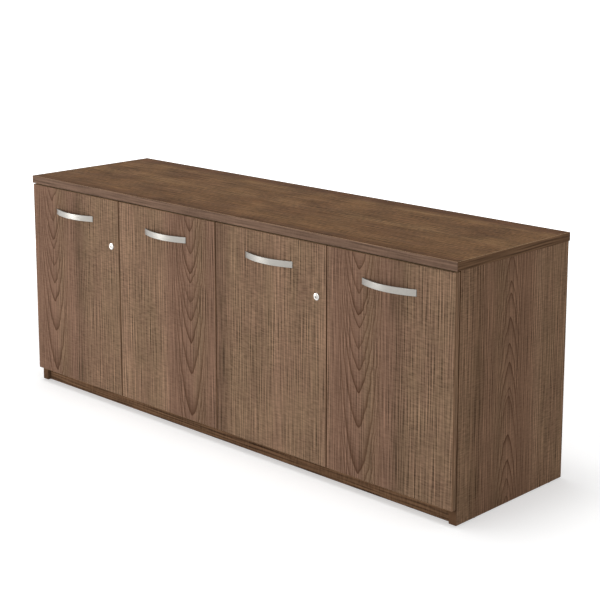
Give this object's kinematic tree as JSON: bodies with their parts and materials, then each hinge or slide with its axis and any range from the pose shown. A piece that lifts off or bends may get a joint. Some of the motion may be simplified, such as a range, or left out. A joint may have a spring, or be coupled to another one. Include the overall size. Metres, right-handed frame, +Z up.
{
  "type": "office credenza",
  "caption": "Low, long office storage credenza with a flat top, floor-length end panels, hinged overlay doors with bow pulls, key locks, shelves and a recessed toe kick.",
  "frame": {"origin": "on the floor, under the middle of the whole object's box, pulls included", "axes": "+X along the length to the right, +Y from the doors to the back, +Z up"},
  "size_m": [1.829, 0.53, 0.724],
  "materials": {
    "top_laminate": "satin walnut print laminate, grain along the length",
    "end_laminate": "satin walnut print laminate, grain upright",
    "door_laminate": "satin walnut print laminate, grain upright",
    "case_laminate": "satin walnut print laminate",
    "kick_laminate": "satin walnut print laminate, grain along the length",
    "satin_nickel": "satin nickel plate",
    "plated_steel": "bright zinc or nickel plated steel",
    "black_nylon": "matte"
  },
  "bodies": {
    "carcass": {"top_panel": "top_laminate", "left_end_panel": "end_laminate", "right_end_panel": "end_laminate", "centre_partition": "case_laminate", "left_bottom_panel": "case_laminate", "right_bottom_panel": "case_laminate", "left_back_panel": "case_laminate", "right_back_panel": "case_laminate", "toe_kick": "kick_laminate", "left_glide_front": "black_nylon", "left_glide_back": "black_nylon", "centre_glide_front": "black_nylon", "centre_glide_back": "black_nylon", "right_glide_front": "black_nylon", "right_glide_back": "black_nylon", "hinge_arm_1_lower": "plated_steel", "hinge_arm_1_upper": "plated_steel", "hinge_arm_2_lower": "plated_steel", "hinge_arm_2_upper": "plated_steel", "hinge_arm_3_lower": "plated_steel", "hinge_arm_3_upper": "plated_steel", "hinge_arm_4_lower": "plated_steel", "hinge_arm_4_upper": "plated_steel"},
    "hinge_links_1": {"hinge_link_1_lower": "plated_steel", "hinge_link_1_upper": "plated_steel"},
    "door_1": {"door_1": "door_laminate", "pull_1": "satin_nickel", "hinge_cup_1_lower": "plated_steel", "hinge_cup_1_upper": "plated_steel", "lock_housing_1": "satin_nickel"},
    "lock_1": {"lock_plug_1": "satin_nickel", "lock_cam_1": "plated_steel"},
    "hinge_links_2": {"hinge_link_2_lower": "plated_steel", "hinge_link_2_upper": "plated_steel"},
    "door_2": {"door_2": "door_laminate", "pull_2": "satin_nickel", "hinge_cup_2_lower": "plated_steel", "hinge_cup_2_upper": "plated_steel", "bolt_guide_2": "plated_steel"},
    "bolt_2": {"bolt_rod_2": "plated_steel"},
    "hinge_links_3": {"hinge_link_3_lower": "plated_steel", "hinge_link_3_upper": "plated_steel"},
    "door_3": {"door_3": "door_laminate", "pull_3": "satin_nickel", "hinge_cup_3_lower": "plated_steel", "hinge_cup_3_upper": "plated_steel", "lock_housing_3": "satin_nickel"},
    "lock_3": {"lock_plug_3": "satin_nickel", "lock_cam_3": "plated_steel"},
    "hinge_links_4": {"hinge_link_4_lower": "plated_steel", "hinge_link_4_upper": "plated_steel"},
    "door_4": {"door_4": "door_laminate", "pull_4": "satin_nickel", "hinge_cup_4_lower": "plated_steel", "hinge_cup_4_upper": "plated_steel", "bolt_guide_4": "plated_steel"},
    "bolt_4": {"bolt_rod_4": "plated_steel"},
    "left_shelf": {"left_shelf": "case_laminate"},
    "right_shelf": {"right_shelf": "case_laminate"}
  },
  "joints": [
    {"name": "hinge_links_1_turn", "type": "hinge", "parent": "carcass", "child": "hinge_links_1", "pos_m": [-0.872, -0.2184, 0.3477], "axis": [0, 0, 1], "range_deg": [0, 55]},
    {"name": "door_1_swing", "type": "hinge", "parent": "hinge_links_1", "child": "door_1", "pos_m": [-0.8972, -0.2277, 0.3477], "axis": [0, 0, 1], "range_deg": [-165, 0]},
    {"name": "lock_1_turn", "type": "hinge", "parent": "door_1", "child": "lock_1", "pos_m": [-0.4947, -0.242, 0.5424], "axis": [0, -1, 0], "range_deg": [0, 90]},
    {"name": "hinge_links_2_turn", "type": "hinge", "parent": "carcass", "child": "hinge_links_2", "pos_m": [-0.0406, -0.2184, 0.3477], "axis": [0, 0, 1], "range_deg": [-55, 0]},
    {"name": "door_2_swing", "type": "hinge", "parent": "hinge_links_2", "child": "door_2", "pos_m": [-0.0154, -0.2277, 0.3477], "axis": [0, 0, 1], "range_deg": [0, 165]},
    {"name": "bolt_2_slide", "type": "slide", "parent": "door_2", "child": "bolt_2", "axis": [0, 0, 1], "range_m": [0, 0.014]},
    {"name": "hinge_links_3_turn", "type": "hinge", "parent": "carcass", "child": "hinge_links_3", "pos_m": [0.0406, -0.2184, 0.3477], "axis": [0, 0, 1], "range_deg": [0, 55]},
    {"name": "door_3_swing", "type": "hinge", "parent": "hinge_links_3", "child": "door_3", "pos_m": [0.0154, -0.2277, 0.3477], "axis": [0, 0, 1], "range_deg": [-165, 0]},
    {"name": "lock_3_turn", "type": "hinge", "parent": "door_3", "child": "lock_3", "pos_m": [0.4179, -0.242, 0.5424], "axis": [0, -1, 0], "range_deg": [0, 90]},
    {"name": "hinge_links_4_turn", "type": "hinge", "parent": "carcass", "child": "hinge_links_4", "pos_m": [0.872, -0.2184, 0.3477], "axis": [0, 0, 1], "range_deg": [-55, 0]},
    {"name": "door_4_swing", "type": "hinge", "parent": "hinge_links_4", "child": "door_4", "pos_m": [0.8972, -0.2277, 0.3477], "axis": [0, 0, 1], "range_deg": [0, 165]},
    {"name": "bolt_4_slide", "type": "slide", "parent": "door_4", "child": "bolt_4", "axis": [0, 0, 1], "range_m": [0, 0.014]},
    {"name": "left_shelf_lift", "type": "slide", "parent": "carcass", "child": "left_shelf", "axis": [0, 0, 1], "range_m": [0, 0.096]},
    {"name": "right_shelf_lift", "type": "slide", "parent": "carcass", "child": "right_shelf", "axis": [0, 0, 1], "range_m": [0, 0.096]}
  ],
  "couplings": [
    {"joint": "hinge_links_1_turn", "follows": "door_1_swing", "ratio": -0.33333},
    {"joint": "hinge_links_2_turn", "follows": "door_2_swing", "ratio": -0.33333},
    {"joint": "hinge_links_3_turn", "follows": "door_3_swing", "ratio": -0.33333},
    {"joint": "hinge_links_4_turn", "follows": "door_4_swing", "ratio": -0.33333}
  ]
}
